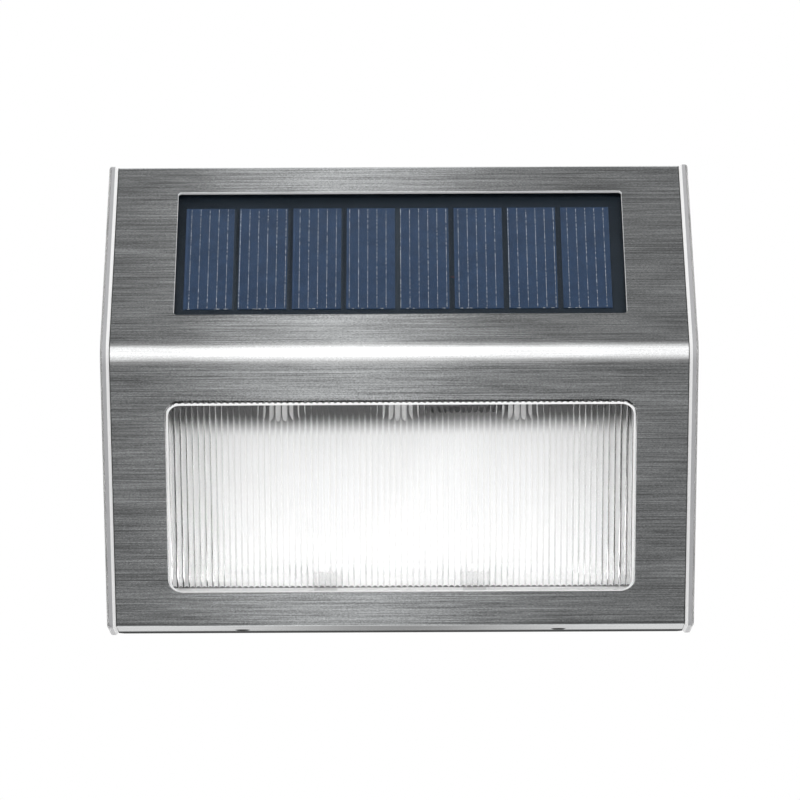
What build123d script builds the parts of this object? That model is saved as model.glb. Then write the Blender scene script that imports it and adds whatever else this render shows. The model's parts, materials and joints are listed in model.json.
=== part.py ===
"""Solar fence light: a folded steel cover over a clear-walled lamp, on a wall bracket.

Millimetres. X runs across the lamp, -Y faces the viewer and +Z is up. The fence is the
plane y = 0, and the origin lies on it at mid height, on the lamp's centre line.
"""
from build123d import *
from math import cos, floor, radians, sin
import os

# Side outline of the folded cover, between sharp corners
DEPTH = 48.0                # fence to ridge
TOP_RISE = 44.4             # ridge to top flange
BOTTOM_DROP = 51.9          # ridge to bottom flange
TOP_FLANGE = 8.7            # fence to upper bend
BOTTOM_FLANGE = 14.6        # fence to lower bend
WIDTH = 120.0               # over the end caps

# Folded sheet
SHEET = 0.6
RIDGE_BEND = 3.1            # outer radius
FLANGE_BEND = 1.5           # outer radius
FLANGE_CORNER = 1.0         # clipped corners of the flanges
SOLAR_SIDE = 14.5           # end of the lamp to the solar window
SOLAR_HEIGHT = 39.5
SOLAR_WINDOW_START = 11.4   # along the upper face, from the ridge
SOLAR_WINDOW_CORNER = 0.7
LENS_SIDE = 12.35           # end of the lamp to the lens window
LENS_HEIGHT = 43.0
LENS_WINDOW_START = 11.1    # along the lower face, from the ridge
LENS_WINDOW_CORNER = 3.0
LOCK_SPACING = 65.0         # screw holes in the bottom flange
LOCK_RADIUS = 1.5
LOCK_FROM_WALL = 6.0

# End caps
RIM = 1.8                   # width of the rim beside the sheet
RIM_PROUD = 0.3
RIM_ROUND = 0.5
RIM_BEVEL = 0.45
TUCK = 4.0                  # skirt that tucks under the sheet
TUCK_WALL = 1.2
SLIP = 0.1                  # between flat faces that slide together

# Seals, lens and solar panel
SEAL = 0.4
SEAL_WIDTH = 1.6
SEAL_SHOWN = 0.4            # window's edge to the seal
LENS_FIT = 0.15             # around the lens in its window
LENS_PROUD = 0.7
LENS_BEVEL = 0.5
LENS_EDGE = 3.0             # flange behind the sheet
LENS_PLATE = 1.2
FLUTE_PITCH = 1.2
FLUTE_HEIGHT = 0.24
FLUTE_SIDE = 0.8            # lens window's side edge to the flutes
FLUTE_END = 1.0             # flutes' ends to the window's edge
FLUTE_CREST = 0.5           # flat crest's share of the pitch
PANEL_EDGE = 2.2            # panel border behind the sheet
PANEL_BOARD = 1.6
RESIN = 0.7
CELLS = 8
CELL_SIDE = 1.7             # solar window's edge to the first cell's share
CELL_GAP = 1.15
CELL_LENGTH = 32.5
CELL_THICKNESS = 0.2

# Light chamber and LEDs
CHAMBER_EDGE = 1.5          # chamber beyond the lens window at each side
CHAMBER_TOP = 0.1           # chamber above the lens window
CHAMBER_FLOOR = 1.4         # chamber below the lens window
CHAMBER_DEPTH = 11.8
CHAMBER_WALL = 1.0
CHAMBER_ROUND = 1.6         # inner corners
CHAMBER_BEVEL = 1.0         # outer corners
STOP_PLACE = 0.8            # back stops, as a share of the chamber's half width
STOP_SIZE = (2.0, 8.0, 5.2)
STOP_DROP = 31.2            # ridge to the stops
WIRE_SLOT = (13.0, 1.2)     # in the chamber's back wall
WIRE_SLOT_X = 13.5
WIRE_SLOT_DROP = 8.0        # below the chamber's top wall
FLOOR_PAD = (4.5, 1.2, 7.5)
FLOOR_PAD_X = 15.2
LED_RADIUS = 2.5
LED_LENGTH = 8.7
LED_RIM = 0.4
DOME_STEPS = (35, 65)       # degrees up the dome
LED_SPACING = 24.0
LED_DEPTH = 8.0             # behind the lower face
LED_HOLE_FIT = 0.2
LEAD = 0.5                  # square leads
LEAD_PITCH = 2.54
LEAD_END = 1.4              # lead beyond the board
LEAD_FIT = 0.2              # around each lead in its hole
STRIP_REACH = 8.0           # strip board beyond the outer LEDs
STRIP_DEPTH = 9.0
STRIP_THICK = 1.2

# Back of the lamp
BACK_RECESS = 2.5           # fence to the outside of the back cover
BACK_WALL = 1.5
BACK_RIM = 4.0              # depth of its edge wall
BACK_CORNER = 2.0
BACK_SCREW_INSET = 2.8      # from the cap's plate
BACK_SCREW_FROM_TOP = 16.35
BACK_SCREW_FROM_BOTTOM = 15.95
BACK_SCREW_RADIUS = 1.1
BACK_SCREW_LENGTH = 8.0
SCREW_HEAD_RADIUS = 2.0
SCREW_HEAD = 1.0
SCREW_SLOT = 0.5
SCREW_FIT = 0.15
POST_HALF = 2.7
POST_LENGTH = 11.0

# Battery bay
BATTERY_RADIUS = 7.25
BATTERY_LENGTH = 49.3       # without its button
BUTTON_RADIUS = 2.6
BUTTON_LENGTH = 1.2
BAY_HEIGHT = 0.9            # battery axis above the origin
BAY_FIT = 0.4               # around the battery
BAY_WALL = 1.2
CONTACT = (9.0, 9.0, 0.5)
SPRING_LENGTH = 4.0
SPRING_SHEET = 0.3
SPRING_STRIP = 5.0          # width of its strip
SPRING_FOOT = 3.8           # half lengths
SPRING_CROWN = 1.5
DOOR = 1.2
DOOR_LAP = 2.0
DOOR_FIT = 0.25
DOOR_CORNER = 1.0
DOOR_TAIL = 9.0             # screw end of the door, beyond the bay

# Control board and switch
BOARD = (62.0, 17.0, 1.5)
BOARD_GAP = 2.6             # above the bay
BOARD_STAND = 3.0           # board to the back cover
BOARD_POST_HALF = 2.0
BOARD_POST_INSET = 3.0      # from the board's edges
CHIP = (5.0, 1.6, 4.0)
CHIP_X = -4.0
CHIP_BEVEL = 0.2
COIL = (6.0, 2.8, 6.0)
COIL_BEVEL = 0.6
COIL_X = 15.0
CAPACITOR_RADIUS = 2.0
CAPACITOR_LENGTH = 5.0
CAPACITOR_BEVEL = 0.4
CAPACITOR_X = -17.0
SWITCH = (9.0, 4.2)
SWITCH_X = -18.0
SLIDER = (2.6, 1.6)
SLIDER_TRAVEL = 2.0
SLIDER_FIT = 0.3
SLIDER_POCKET = 1.2
SLIDER_OUT = 0.9            # beyond the back cover

# Inner leads
WIRE_RADIUS = 0.5
WIRE_SIDES = 6
WIRE_BEND = 3.0
PANEL_WIRE_X = 8.0
PANEL_WIRE_START = 27.0     # along the upper face, from the ridge
LED_WIRE_INSET = 7.0        # inwards from the right LED
WIRE_PAIR = 3.0             # between the two leads of a pair

# Wall bracket
BRACKET = 1.0
BRACKET_BEND = 1.6          # outer radius
BRACKET_WIDTH = 84.0
BRACKET_CORNER = 3.0
LIP_WIDTH = 56.0
LIP_DEPTH = 6.5
LOCK_TAB_WIDTH = 11.0
LOCK_TAB_DEPTH = 9.5
LIP_FIT = 0.2
WALL_HOLE_SPACING = 50.0
WALL_HOLE_RADIUS = 2.25
WALL_HOLE_HEIGHT = 18.0
RELIEF = (56.0, 36.0)       # opening in the bracket's middle
RELIEF_CORNER = 4.0
RELIEF_HEIGHT = -16.0

# Places that follow from the sizes above
HEIGHT = TOP_RISE + BOTTOM_DROP
TOP = HEIGHT / 2
BOTTOM = -HEIGHT / 2
RIDGE = BOTTOM + BOTTOM_DROP
HALF_SHEET = WIDTH / 2 - RIM
SOLAR_WINDOW = (WIDTH - 2 * SOLAR_SIDE, SOLAR_HEIGHT)
LENS_WINDOW = (WIDTH - 2 * LENS_SIDE, LENS_HEIGHT)
CELL_PITCH = (SOLAR_WINDOW[0] - 2 * CELL_SIDE) / CELLS
SPARE = 30.0                # reach of tools behind the fence plane


def face_plane(corner_y, corner_z):
    """A flat of the cover: Y climbs along it from or to the ridge, Z points outwards."""
    up = 1 if corner_z > RIDGE else -1
    along_y = (corner_y + DEPTH) * up
    along_z = (corner_z - RIDGE) * up
    return Plane(origin=(0, -DEPTH, RIDGE), x_dir=(1, 0, 0), z_dir=(0, -along_z, along_y))


UPPER = face_plane(-TOP_FLANGE, TOP)
LOWER = face_plane(-BOTTOM_FLANGE, BOTTOM)

LENS_BACK = -(SHEET + SEAL + LENS_PLATE)
CHAMBER_BACK = LENS_BACK - CHAMBER_DEPTH
CHAMBER_CEILING = -LENS_WINDOW_START + CHAMBER_TOP
CHAMBER_GROUND = -(LENS_WINDOW_START + LENS_WINDOW[1] + CHAMBER_FLOOR)
CHAMBER_HALF = LENS_WINDOW[0] / 2 + CHAMBER_EDGE
PANEL_FRONT = -(SHEET + SEAL)
PANEL_BACK = PANEL_FRONT - RESIN - PANEL_BOARD
BACK_INSIDE = -BACK_RECESS - BACK_WALL
BACK_TOP = TOP - SHEET - 2 * LIP_FIT - BRACKET
BACK_BOTTOM = BOTTOM + SHEET + 2 * LIP_FIT + BRACKET
BACK_SCREW_X = HALF_SHEET - BACK_SCREW_INSET
BACK_SCREW_HEIGHTS = (TOP - BACK_SCREW_FROM_TOP, BOTTOM + BACK_SCREW_FROM_BOTTOM)
BAY_HALF_LENGTH = (BATTERY_LENGTH + BUTTON_LENGTH + SPRING_LENGTH) / 2 + CONTACT[2]
BAY_HALF_HEIGHT = BATTERY_RADIUS + BAY_FIT
BATTERY_Y = -BACK_RECESS - DOOR - BAY_FIT - BATTERY_RADIUS
BAY_FLOOR = BATTERY_Y - BATTERY_RADIUS - SLIP
BATTERY_END = BAY_HALF_LENGTH - CONTACT[2] - BUTTON_LENGTH
BAY_LEAD_Y = BATTERY_Y - CONTACT[0] / 3
BOARD_BACK = BACK_INSIDE - BOARD_STAND
BOARD_FRONT = BOARD_BACK - BOARD[2]
BOARD_BOTTOM = BAY_HEIGHT + BAY_HALF_HEIGHT + BAY_WALL + BOARD_GAP
BOARD_MIDDLE = BOARD_BOTTOM + BOARD[1] / 2
DOOR_HALF = BAY_HALF_LENGTH + DOOR_LAP
LED_WIRE_X = LED_SPACING - LED_WIRE_INSET


def block(x_span, y_span, z_span):
    """A box between two limits on each axis."""
    spans = (x_span, y_span, z_span)
    size = [high - low for low, high in spans]
    middle = [(high + low) / 2 for low, high in spans]
    return Pos(*middle) * Box(*size)


def rod(radius, start, direction, length):
    """A cylinder that leaves its start along a direction."""
    return extrude(Plane(origin=start, z_dir=direction) * Circle(radius), amount=length)


def outline(inset, back=0.0):
    """Side outline moved in from the sheet's outside, cut off at y = back."""
    corners = ((-DEPTH, RIDGE), (-TOP_FLANGE, TOP), (-BOTTOM_FLANGE, BOTTOM))
    bends = (RIDGE_BEND, FLANGE_BEND, FLANGE_BEND)
    ridge, top, bottom = corners
    shape = Polygon(top, ridge, bottom, (SPARE, BOTTOM), (SPARE, TOP), align=None)
    if inset:
        shape = offset(shape, amount=-inset, kind=Kind.INTERSECTION)
    for corner, bend in zip(corners, bends):
        vertex = shape.vertices().sort_by_distance((*corner, 0))[0]
        shape = fillet(vertex, max(bend - inset, SHEET / 2))
    return shape - Pos(back + 2 * SPARE, 0) * Rectangle(4 * SPARE, 4 * HEIGHT)


def across(sketch, x_from, x_to):
    """A side sketch carried across the lamp."""
    return extrude(Plane.YZ.offset(x_from) * sketch, amount=x_to - x_from)


def window(plane, size, middle, corner, z_span):
    """A rounded block on one of the cover's flats."""
    low, high = z_span
    sketch = Pos(0, middle) * RectangleRounded(*size, corner)
    return extrude(plane.offset(low) * sketch, amount=high - low)


SOLAR_MIDDLE = SOLAR_WINDOW_START + SOLAR_WINDOW[1] / 2
LENS_MIDDLE = -(LENS_WINDOW_START + LENS_WINDOW[1] / 2)


def grown(size, edge):
    """A rectangle's size with an edge added all round."""
    return size[0] + 2 * edge, size[1] + 2 * edge


def front_cover():
    """Sheet folded over the ridge, with both windows, flanges and lock holes."""
    sheet = across(outline(0) - outline(SHEET), -HALF_SHEET, HALF_SHEET)
    cut = (-2 * SHEET, 2 * SHEET)
    sheet -= window(UPPER, SOLAR_WINDOW, SOLAR_MIDDLE, SOLAR_WINDOW_CORNER, cut)
    sheet -= window(LOWER, LENS_WINDOW, LENS_MIDDLE, LENS_WINDOW_CORNER, cut)
    for side in (-1, 1):
        start = (side * LOCK_SPACING / 2, -LOCK_FROM_WALL, BOTTOM - SHEET)
        sheet -= rod(LOCK_RADIUS, start, (0, 0, 1), 3 * SHEET)
    corners = sheet.edges().filter_by(Axis.Z).filter_by(lambda edge: edge.center().Y > -SLIP)
    return chamfer(corners, FLANGE_CORNER)


def end_cap(side):
    """Side wall with a bevelled rim, a skirt under the sheet and two screw posts."""
    plate = across(outline(-RIM_PROUD), HALF_SHEET, WIDTH / 2)
    front = plate.edges().filter_by(lambda edge: edge.center().Y < -SLIP)
    outer = front.filter_by_position(Axis.X, WIDTH / 2 - SLIP, WIDTH / 2 + SLIP)
    plate = chamfer(outer, RIM_ROUND)
    front = plate.edges().filter_by(lambda edge: edge.center().Y < -SLIP)
    inner = front.filter_by_position(Axis.X, HALF_SHEET - SLIP, HALF_SHEET + SLIP)
    plate = chamfer(inner, RIM_BEVEL)
    under = SHEET + SLIP
    skirt = outline(under, BACK_INSIDE) - outline(under + TUCK_WALL, BACK_INSIDE)
    cap = plate + across(skirt, HALF_SHEET - TUCK, HALF_SHEET)
    for height in BACK_SCREW_HEIGHTS:
        cap += block((BACK_SCREW_X - POST_HALF, HALF_SHEET),
                     (BACK_INSIDE - POST_LENGTH, BACK_INSIDE),
                     (height - POST_HALF, height + POST_HALF))
        start = (BACK_SCREW_X, BACK_INSIDE, height)
        cap -= rod(BACK_SCREW_RADIUS, start, (0, -1, 0), BACK_SCREW_LENGTH - BACK_WALL)
    return cap if side > 0 else mirror(cap, about=Plane.YZ)


def seal(plane, size, middle):
    """Foam frame between the sheet and what closes its window."""
    hole = grown(size, SEAL_SHOWN)
    frame = Rectangle(*grown(hole, SEAL_WIDTH)) - Rectangle(*hole)
    return extrude(plane.offset(-SHEET - SEAL) * (Pos(0, middle) * frame), amount=SEAL)


def flute_row():
    """The flat-crested ribs on the back of the lens, side by side."""
    count = floor((LENS_WINDOW[0] - 2 * FLUTE_SIDE) / FLUTE_PITCH)
    left = -count * FLUTE_PITCH / 2
    crest = LENS_BACK - FLUTE_HEIGHT
    slope = FLUTE_PITCH * (1 - FLUTE_CREST) / 2
    root = LENS_BACK + LENS_PLATE / 2
    points = [(left, root), (left, LENS_BACK)]
    for number in range(count):
        x = left + number * FLUTE_PITCH
        points.append((x + slope, crest))
        points.append((x + FLUTE_PITCH - slope, crest))
        points.append((x + FLUTE_PITCH, LENS_BACK))
    points.append((-left, root))
    section = Plane(origin=(0, 0, 0), x_dir=(1, 0, 0), z_dir=(0, -1, 0)) * Polygon(*points, align=None)
    length = LENS_WINDOW[1] - 2 * FLUTE_END
    return Pos(0, LENS_MIDDLE + length / 2) * extrude(section, amount=length)


def lens():
    """Clear window: a bevelled plateau through the sheet, a flange and inner flutes."""
    size = grown(LENS_WINDOW, -LENS_FIT)
    corner = LENS_WINDOW_CORNER - LENS_FIT
    plateau = Pos(0, LENS_MIDDLE) * RectangleRounded(*size, corner)
    plateau = extrude(Plane.XY.offset(LENS_BACK) * plateau, amount=LENS_PROUD - LENS_BACK)
    plateau = chamfer(plateau.faces().sort_by(Axis.Z)[-1].edges(), LENS_BEVEL)
    flange = window(Plane.XY, grown(LENS_WINDOW, LENS_EDGE), LENS_MIDDLE,
                    LENS_WINDOW_CORNER, (LENS_BACK, -SHEET - SEAL))
    return LOWER * (plateau + flange + flute_row())


def cell_blocks(z_span):
    """The row of cells between two depths behind the upper face."""
    low = SOLAR_MIDDLE - CELL_LENGTH / 2
    first = -CELL_PITCH * (CELLS - 1) / 2
    half = (CELL_PITCH - CELL_GAP) / 2
    for number in range(CELLS):
        x = first + number * CELL_PITCH
        yield UPPER * block((x - half, x + half), (low, low + CELL_LENGTH), z_span)


def solar_cells():
    """Eight thin cells, each its own solid."""
    low = PANEL_FRONT - RESIN
    return Compound(list(cell_blocks((low, low + CELL_THICKNESS))))


def panel_resin():
    """Clear coat that fills over and between the cells."""
    low = PANEL_FRONT - RESIN
    size = grown(SOLAR_WINDOW, PANEL_EDGE)
    coat = window(UPPER, size, SOLAR_MIDDLE, SOLAR_WINDOW_CORNER, (low, PANEL_FRONT))
    for cell in cell_blocks((low, low + CELL_THICKNESS)):
        coat -= cell
    return coat


def panel_board():
    """Dark board that carries the cells."""
    size = grown(SOLAR_WINDOW, PANEL_EDGE)
    return window(UPPER, size, SOLAR_MIDDLE, SOLAR_WINDOW_CORNER,
                  (PANEL_BACK, PANEL_FRONT - RESIN))


def led_places():
    """Left, centre and right LED positions across the lamp."""
    return (-LED_SPACING, 0.0, LED_SPACING)


def reflector():
    """White moulded chamber with LED holes, a wire slot, floor pads and back stops."""
    wall = CHAMBER_WALL
    x_out = CHAMBER_HALF + wall
    y_out = (CHAMBER_GROUND - wall, CHAMBER_CEILING + wall)
    box = block((-x_out, x_out), y_out, (CHAMBER_BACK - wall, LENS_BACK))
    box = chamfer(box.edges().filter_by(Axis.Z), CHAMBER_BEVEL)
    shell = LOWER * chamfer(box.faces().sort_by(Axis.Z)[0].edges(), CHAMBER_BEVEL)
    width, depth, height = STOP_SIZE
    for side in (-1, 1):
        x = side * CHAMBER_HALF * STOP_PLACE
        shell += block((x - width / 2, x + width / 2), (BACK_INSIDE - depth, BACK_INSIDE),
                       (RIDGE - STOP_DROP - height, RIDGE - STOP_DROP))
    hollow = block((-CHAMBER_HALF, CHAMBER_HALF), (CHAMBER_GROUND, CHAMBER_CEILING),
                   (CHAMBER_BACK, LENS_BACK + wall))
    hollow = fillet(hollow.edges().filter_by(Axis.Z), CHAMBER_ROUND)
    hollow = chamfer(hollow.faces().sort_by(Axis.Z)[0].edges(), CHAMBER_BEVEL)
    shell -= LOWER * hollow
    for x in led_places():
        start = (x, CHAMBER_CEILING + 2 * wall, -LED_DEPTH)
        hole = LED_RADIUS + LED_RIM + LED_HOLE_FIT
        shell -= LOWER * rod(hole, start, (0, -1, 0), 3 * wall)
    slot_y = CHAMBER_CEILING - WIRE_SLOT_DROP
    shell -= LOWER * block((WIRE_SLOT_X - WIRE_SLOT[0] / 2, WIRE_SLOT_X + WIRE_SLOT[0] / 2),
                           (slot_y - WIRE_SLOT[1], slot_y),
                           (CHAMBER_BACK - 2 * wall, CHAMBER_BACK + wall / 2))
    width, height, length = FLOOR_PAD
    for x in (-FLOOR_PAD_X, FLOOR_PAD_X):
        shell += LOWER * block((x - width / 2, x + width / 2),
                               (CHAMBER_GROUND - wall / 2, CHAMBER_GROUND + height),
                               (CHAMBER_BACK - wall / 2, CHAMBER_BACK + length))
    return shell


def led_board():
    """Strip board on the chamber's top wall, with square holes for the LED leads."""
    half = LED_SPACING + STRIP_REACH
    y = CHAMBER_CEILING + CHAMBER_WALL
    board = block((-half, half), (y, y + STRIP_THICK),
                  (-LED_DEPTH - STRIP_DEPTH / 2, -LED_DEPTH + STRIP_DEPTH / 2))
    hole = LEAD / 2 + LEAD_FIT
    for x in lead_places():
        board -= block((x - hole, x + hole), (y - STRIP_THICK, y + 2 * STRIP_THICK),
                       (-LED_DEPTH - hole, -LED_DEPTH + hole))
    return LOWER * board


def lead_places():
    """Both leads of each LED."""
    return [x + side * LEAD_PITCH / 2 for x in led_places() for side in (-1, 1)]


def led_leads():
    """Square leads from the LED bodies through the strip board."""
    y = CHAMBER_CEILING + CHAMBER_WALL
    half = LEAD / 2
    top = y + STRIP_THICK + LEAD_END
    pins = [block((x - half, x + half), (y, top), (-LED_DEPTH - half, -LED_DEPTH + half))
            for x in lead_places()]
    return Compound([LOWER * pin for pin in pins])


def leds():
    """Three round LEDs: a rim, a barrel and a stepped dome, turned as one profile."""
    straight = LED_LENGTH - LED_RADIUS
    rim = LED_RADIUS + LED_RIM
    points = [(0, LED_LENGTH), (0, 0), (rim, 0), (rim, CHAMBER_WALL), (LED_RADIUS, CHAMBER_WALL),
              (LED_RADIUS, straight)]
    for angle in DOME_STEPS:
        turn = radians(angle)
        points.append((LED_RADIUS * cos(turn), straight + LED_RADIUS * sin(turn)))
    body = revolve(Polygon(*points, align=None), axis=Axis.Y)
    seats = [Plane(origin=(x, CHAMBER_CEILING + CHAMBER_WALL, -LED_DEPTH),
                   x_dir=(-1, 0, 0), z_dir=(0, 0, 1)) for x in led_places()]
    return Compound([LOWER * (seat * body) for seat in seats])


def back_screw_places():
    """The four screws of the back cover, as x and z."""
    return [(side * BACK_SCREW_X, z) for side in (-1, 1) for z in BACK_SCREW_HEIGHTS]


def screw(x, z):
    """Slotted screw driven forwards, its head on the lamp's back."""
    seat = (x, -BACK_RECESS, z)
    shank = rod(BACK_SCREW_RADIUS, seat, (0, -1, 0), BACK_SCREW_LENGTH - SCREW_HEAD)
    head = rod(SCREW_HEAD_RADIUS, seat, (0, 1, 0), SCREW_HEAD)
    slot = Box(2 * SCREW_HEAD_RADIUS, SCREW_HEAD, SCREW_SLOT)
    return shank + head - Pos(x, SCREW_HEAD - BACK_RECESS, z) * slot


def door_outline(fit):
    """Battery door seen from behind: a plate over the bay with a tail for its screw."""
    half = BAY_HALF_HEIGHT + DOOR_LAP
    plate = Rectangle(2 * (DOOR_HALF - fit), 2 * (half - fit))
    tail = Pos(DOOR_HALF) * Rectangle(2 * (DOOR_TAIL - fit), half - 2 * fit)
    shape = plate + tail
    return chamfer(shape.vertices(), DOOR_CORNER)


def from_behind(sketch, y_from, y_to):
    """A sketch in X and Z, carried from one depth to another."""
    plane = Plane(origin=(0, y_from, BAY_HEIGHT), x_dir=(1, 0, 0), z_dir=(0, -1, 0))
    return extrude(plane * sketch, amount=y_from - y_to)


def door_screw_x():
    """Middle of the door's tail."""
    return DOOR_HALF + DOOR_TAIL / 2


def back_cover():
    """Tray that closes the lamp, with the battery bay, switch slot and screw holes."""
    half = HALF_SHEET - 2 * SLIP
    body = block((-half, half), (BACK_INSIDE - BACK_RIM + BACK_WALL, -BACK_RECESS),
                 (BACK_BOTTOM, BACK_TOP))
    body = chamfer(body.edges().filter_by(Axis.Y), BACK_CORNER)
    inner = half - TUCK
    wall = BAY_WALL
    body -= block((-half - 1, half + 1), (BACK_INSIDE - BACK_RIM, BACK_INSIDE),
                  (BACK_BOTTOM + wall, BACK_TOP - wall))
    for side in (-1, 1):
        low, high = sorted((side * inner, side * (half + 1)))
        body -= block((low, high), (BACK_INSIDE - BACK_RIM, BACK_INSIDE),
                      (BACK_BOTTOM - 1, BACK_TOP + 1))
    bay_x = BAY_HALF_LENGTH
    bay_z = BAY_HALF_HEIGHT
    body += from_behind(Rectangle(2 * (bay_x + wall), 2 * (bay_z + wall)),
                        BACK_INSIDE, BAY_FLOOR - wall)
    boss_x = door_screw_x()
    seat = -BACK_RECESS - DOOR
    body += from_behind(Pos(boss_x) * Circle(BACK_SCREW_RADIUS + BAY_WALL + wall / 2),
                        BACK_INSIDE, BACK_INSIDE - BACK_SCREW_LENGTH)
    body += from_behind(door_outline(-BAY_WALL / 2), BACK_INSIDE, BACK_INSIDE - wall)
    body -= from_behind(door_outline(0), -BACK_RECESS + 1, seat)
    body -= from_behind(Rectangle(2 * bay_x, 2 * bay_z), -BACK_RECESS, BAY_FLOOR)
    body -= rod(BACK_SCREW_RADIUS, (boss_x, seat, BAY_HEIGHT), (0, -1, 0),
                BACK_SCREW_LENGTH - DOOR)
    for x, z in back_screw_places():
        start = (x, -BACK_RECESS, z)
        body -= rod(BACK_SCREW_RADIUS + SCREW_FIT, start, (0, -1, 0), 2 * BACK_WALL)
    slot = (SLIDER[0] + SLIDER_TRAVEL + 2 * SLIDER_FIT, SLIDER[1] + 2 * SLIDER_FIT)
    body -= Pos(SWITCH_X, 0, BOARD_MIDDLE) * block((-slot[0] / 2, slot[0] / 2),
                                                    (2 * BACK_INSIDE, 0),
                                                    (-slot[1] / 2, slot[1] / 2))
    for x in (-bay_x + CONTACT[2] / 2, bay_x - CONTACT[2] / 2):
        start = (x, BAY_LEAD_Y, BAY_HEIGHT)
        body -= rod(WIRE_RADIUS + SCREW_FIT, start, (0, 0, 1), bay_z + 2 * wall)
    for x, z in board_post_places():
        body += block((x - BOARD_POST_HALF, x + BOARD_POST_HALF), (BOARD_BACK, BACK_INSIDE),
                      (z - BOARD_POST_HALF, z + BOARD_POST_HALF))
    return body


def board_post_places():
    """Posts under the board's corners, as x and z."""
    x = BOARD[0] / 2 - BOARD_POST_INSET
    z = BOARD[1] / 2 - BOARD_POST_INSET
    return [(side * x, BOARD_MIDDLE + end * z) for side in (-1, 1) for end in (-1, 1)]


def case_screws():
    """Four screws through the back cover into the cap posts, and the door's screw."""
    places = [*back_screw_places(), (door_screw_x(), BAY_HEIGHT)]
    return Compound([screw(x, z) for x, z in places])


def battery_door():
    """Plate over the battery bay, flush with the back."""
    seat = -BACK_RECESS - DOOR
    door = from_behind(door_outline(DOOR_FIT), -BACK_RECESS, seat)
    hole = BACK_SCREW_RADIUS + SCREW_FIT
    return door - rod(hole, (door_screw_x(), -BACK_RECESS, BAY_HEIGHT), (0, -1, 0), 2 * DOOR)


def battery():
    """One AA cell, turned as one profile with its button."""
    start = (BATTERY_END, BATTERY_Y, BAY_HEIGHT)
    body = rod(BATTERY_RADIUS, start, (-1, 0, 0), BATTERY_LENGTH)
    button = rod(BUTTON_RADIUS, start, (1, 0, 0), BUTTON_LENGTH)
    return body + button


def contact_plate(x):
    """Spring-steel plate at one end of the bay."""
    width, height, thick = CONTACT
    return block((x, x + thick), (BATTERY_Y - width / 2, BATTERY_Y + width / 2),
                 (BAY_HEIGHT - height / 2, BAY_HEIGHT + height / 2))


def contact_plus():
    """Flat plate that meets the battery's button."""
    return contact_plate(BAY_HALF_LENGTH - CONTACT[2])


def contact_spring():
    """Plate with a bowed leaf that presses on the battery's base."""
    reach = SPRING_LENGTH
    bow = Polygon((0, -SPRING_FOOT), (reach, -SPRING_CROWN), (reach, SPRING_CROWN),
                  (0, SPRING_FOOT), align=None)
    bow -= offset(bow, amount=-SPRING_SHEET, kind=Kind.INTERSECTION)
    start = (-BAY_HALF_LENGTH + CONTACT[2], BATTERY_Y + SPRING_STRIP / 2, BAY_HEIGHT)
    place = Plane(origin=start, x_dir=(1, 0, 0), z_dir=(0, -1, 0))
    return contact_plate(-BAY_HALF_LENGTH) + extrude(place * bow, amount=SPRING_STRIP)


def control_board():
    """Upright board between the back cover and the solar panel."""
    half = BOARD[0] / 2
    return block((-half, half), (BOARD_FRONT, BOARD_BACK),
                 (BOARD_BOTTOM, BOARD_BOTTOM + BOARD[1]))


def control_chip():
    """Small moulded chip on the front of the board."""
    width, thick, height = CHIP
    chip = block((CHIP_X - width / 2, CHIP_X + width / 2), (BOARD_FRONT - thick, BOARD_FRONT),
                 (BOARD_MIDDLE - height / 2, BOARD_MIDDLE + height / 2))
    return chamfer(chip.faces().sort_by(Axis.Y)[0].edges(), CHIP_BEVEL)


def charge_coil():
    """Boxed coil on the board."""
    width, thick, height = COIL
    coil = block((COIL_X - width / 2, COIL_X + width / 2), (BOARD_FRONT - thick, BOARD_FRONT),
                 (BOARD_MIDDLE - height / 2, BOARD_MIDDLE + height / 2))
    return chamfer(coil.faces().sort_by(Axis.Y)[0].edges(), COIL_BEVEL)


def board_capacitor():
    """Capacitor lying across the front of the board."""
    start = (CAPACITOR_X - CAPACITOR_LENGTH / 2, BOARD_FRONT - CAPACITOR_RADIUS, BOARD_MIDDLE)
    can = rod(CAPACITOR_RADIUS, start, (1, 0, 0), CAPACITOR_LENGTH)
    return chamfer(can.edges(), CAPACITOR_BEVEL)


def switch_body():
    """Slide switch behind the board, with a pocket for its slider."""
    width, height = SWITCH
    body = block((-width / 2, width / 2), (BOARD_BACK, BACK_INSIDE), (-height / 2, height / 2))
    length = SLIDER[0] + SLIDER_TRAVEL + 2 * SLIDER_FIT
    tall = SLIDER[1] + 2 * SLIDER_FIT
    body -= block((-length / 2, length / 2), (BACK_INSIDE - SLIDER_POCKET, BACK_INSIDE),
                  (-tall / 2, tall / 2))
    return Pos(SWITCH_X, 0, BOARD_MIDDLE) * body


def switch_slider():
    """Slider at its off end, ribbed across for a fingernail."""
    width, height = SLIDER
    x = -SLIDER_TRAVEL / 2
    tip = -BACK_RECESS + SLIDER_OUT
    slider = block((x - width / 2, x + width / 2), (BACK_INSIDE - SLIDER_POCKET, tip),
                   (-height / 2, height / 2))
    for number in (-1, 0, 1):
        groove = x + number * width / 4
        slider -= block((groove - SLIP, groove + SLIP), (tip - 2 * SLIP, tip + 1),
                        (-height, height))
    return Pos(SWITCH_X, 0, BOARD_MIDDLE) * slider


def lead(points):
    """A six-sided wire along straight runs joined by bends."""
    path = FilletPolyline(*points, radius=WIRE_BEND)
    start = Plane(origin=path @ 0, z_dir=path % 0)
    return sweep(start * RegularPolygon(WIRE_RADIUS, WIRE_SIDES), path=path)


def panel_wires():
    """Two leads from the back of the solar panel to the control board."""
    wires = []
    for x in (PANEL_WIRE_X, PANEL_WIRE_X + WIRE_PAIR):
        start = UPPER.from_local_coords((x, PANEL_WIRE_START, PANEL_BACK))
        turn = start - UPPER.z_dir * 2 * WIRE_BEND
        wires.append(lead([start, turn, (x, BOARD_FRONT, turn.Z)]))
    return Compound(wires)


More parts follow.
